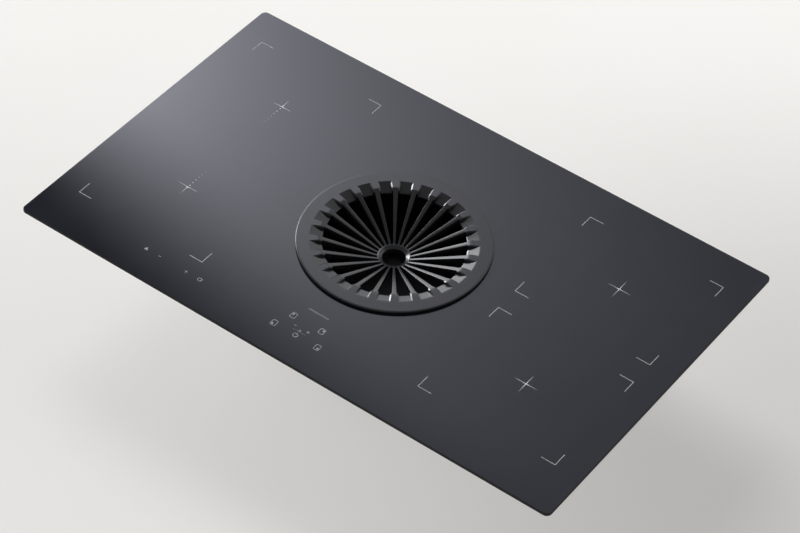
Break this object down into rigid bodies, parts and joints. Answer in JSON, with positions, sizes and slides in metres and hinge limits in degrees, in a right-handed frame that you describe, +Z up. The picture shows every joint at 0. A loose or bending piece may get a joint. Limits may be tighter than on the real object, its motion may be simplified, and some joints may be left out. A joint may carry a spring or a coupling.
{
  "type": "downdraft induction cooktop",
  "caption": "Built-in induction cooktop: flat dark glass with corner-marked zones around a round dished grille, over a central downdraft extractor with scroll blower and flat duct outlet.",
  "frame": {"origin": "centre of the glass on the worktop plane, which is the underside of the rim seal", "axes": "+X to the cook's right, +Y to the back, +Z up out of the worktop"},
  "size_m": [0.84, 0.515, 0.1896],
  "materials": {
    "glass_ceramic": "gloss black glass ceramic, opaque, pale grey printed marks",
    "seal_foam": "closed-cell foam",
    "zinc_sheet": "galvanised sheet, fine spangle",
    "zinc_screw": "zinc-plated",
    "black_rubber": "matt silicone",
    "black_enamel": "satin black coating",
    "cast_black": "satin black enamel over a casting",
    "filter_steel": "brushed stainless",
    "filter_mesh": "layered expanded mesh",
    "bowl_plastic": "satin black heat-resistant plastic",
    "housing_plastic": "moulded, fine texture",
    "duct_plastic": "moulded pale grey",
    "flap_plastic": "moulded",
    "motor_alloy": "die-cast",
    "bright_steel": "ground steel",
    "impeller_plastic": "glass-filled plastic",
    "mica": "pressed mica",
    "ferrite": "sintered ferrite",
    "sensor_white": "silicone cap",
    "support_alloy": "mill finish",
    "board_green": "solder resist",
    "cooler_plastic": "moulded black",
    "box_plastic": "moulded, fine texture",
    "terminal_ivory": "moulded ivory",
    "gland_plastic": "moulded black",
    "copper_litz": "lacquered copper litz",
    "carrier_plastic": "phenolic moulding",
    "clamp_steel": "zinc-plated strip"
  },
  "bodies": {
    "hob": {"cable_gland": "gland_plastic", "casing_tray": "zinc_sheet", "clamp_pivots": "zinc_screw", "coil_carrier_front_left": "carrier_plastic", "coil_carrier_front_right": "carrier_plastic", "coil_carrier_rear_left": "carrier_plastic", "coil_carrier_rear_right": "carrier_plastic", "coil_sensors": "sensor_white", "coil_support_left": "support_alloy", "coil_support_right": "support_alloy", "coil_winding_front_left": "copper_litz", "coil_winding_front_right": "copper_litz", "coil_winding_rear_left": "copper_litz", "coil_winding_rear_right": "copper_litz", "cooler_frame_left": "cooler_plastic", "cooler_frame_right": "cooler_plastic", "fan_control_box": "box_plastic", "fan_control_lid": "box_plastic", "ferrite_bars": "ferrite", "filter_ledge": "black_enamel", "fixing_screws": "zinc_screw", "glass_frame": "zinc_sheet", "glass_plate": "glass_ceramic", "hanger_brackets": "zinc_sheet", "heatsink_left": "support_alloy", "heatsink_right": "support_alloy", "inlet_plate": "housing_plastic", "intake_throat": "black_enamel", "inverter_board_left": "board_green", "inverter_board_right": "board_green", "mica_sheets": "mica", "motor_bearings": "bright_steel", "motor_mounts": "black_rubber", "motor_stator": "motor_alloy", "outlet_duct": "duct_plastic", "rim_seal": "seal_foam", "terminal_block": "terminal_ivory", "terminal_box": "box_plastic", "throat_seal": "black_rubber", "touch_board_extraction": "board_green", "touch_board_main": "board_green", "volute": "housing_plastic"},
    "grille": {"grille": "cast_black", "grille_pads": "black_rubber"},
    "grease_filter": {"filter_flange": "filter_steel", "filter_cage": "filter_steel", "filter_mesh": "filter_mesh", "filter_handle": "filter_steel"},
    "bowl": {"drip_bowl": "bowl_plastic"},
    "impeller_set": {"impeller": "impeller_plastic", "impeller_nut": "zinc_screw", "motor_rotor": "bright_steel"},
    "cooler_left": {"cooler_rotor_left": "cooler_plastic"},
    "cooler_right": {"cooler_rotor_right": "cooler_plastic"},
    "flap": {"backdraft_flap": "flap_plastic"},
    "cover": {"terminal_cover": "box_plastic"},
    "clamp_rear_left": {"worktop_clamp_rear_left": "clamp_steel"},
    "clamp_front_left": {"worktop_clamp_front_left": "clamp_steel"},
    "clamp_rear_right": {"worktop_clamp_rear_right": "clamp_steel"},
    "clamp_front_right": {"worktop_clamp_front_right": "clamp_steel"}
  },
  "joints": [
    {"name": "grille_lift", "type": "slide", "parent": "hob", "child": "grille", "axis": [0, 0, 1], "range_m": [0, 0.45]},
    {"name": "filter_lift", "type": "slide", "parent": "hob", "child": "grease_filter", "axis": [0, 0, 1], "range_m": [0, 0.2925]},
    {"name": "bowl_lift", "type": "slide", "parent": "hob", "child": "bowl", "axis": [0, 0, 1], "range_m": [0, 0.135]},
    {"name": "impeller_spin", "type": "hinge", "parent": "hob", "child": "impeller_set", "pos_m": [0, 0, -0.1665], "axis": [0, 0, 1], "continuous": true},
    {"name": "backdraft_flap_swing", "type": "hinge", "parent": "hob", "child": "flap", "pos_m": [0.07096, 0.18, -0.0985], "axis": [1, 0, 0], "range_deg": [0, 75]},
    {"name": "terminal_cover_swing", "type": "hinge", "parent": "hob", "child": "cover", "pos_m": [0.165, 0.1793, -0.054], "axis": [1, 0, 0], "range_deg": [0, 85]},
    {"name": "cooler_left_spin", "type": "hinge", "parent": "hob", "child": "cooler_left", "pos_m": [-0.29, -0.12, -0.0435], "axis": [0, 0, 1], "continuous": true},
    {"name": "cooler_right_spin", "type": "hinge", "parent": "hob", "child": "cooler_right", "pos_m": [0.29, -0.12, -0.0435], "axis": [0, 0, 1], "continuous": true},
    {"name": "clamp_rear_left_swing", "type": "hinge", "parent": "hob", "child": "clamp_rear_left", "pos_m": [-0.318, 0.182, -0.0603], "axis": [0, 0, 1], "range_deg": [0, 90]},
    {"name": "clamp_front_left_swing", "type": "hinge", "parent": "hob", "child": "clamp_front_left", "pos_m": [-0.318, -0.182, -0.0603], "axis": [0, 0, -1], "range_deg": [0, 90]},
    {"name": "clamp_rear_right_swing", "type": "hinge", "parent": "hob", "child": "clamp_rear_right", "pos_m": [0.318, 0.182, -0.0603], "axis": [0, 0, -1], "range_deg": [0, 90]},
    {"name": "clamp_front_right_swing", "type": "hinge", "parent": "hob", "child": "clamp_front_right", "pos_m": [0.318, -0.182, -0.0603], "axis": [0, 0, 1], "range_deg": [0, 90]}
  ],
  "couplings": [
    {"joint": "filter_lift", "follows": "grille_lift", "ratio": 0.65},
    {"joint": "bowl_lift", "follows": "grille_lift", "ratio": 0.3}
  ]
}
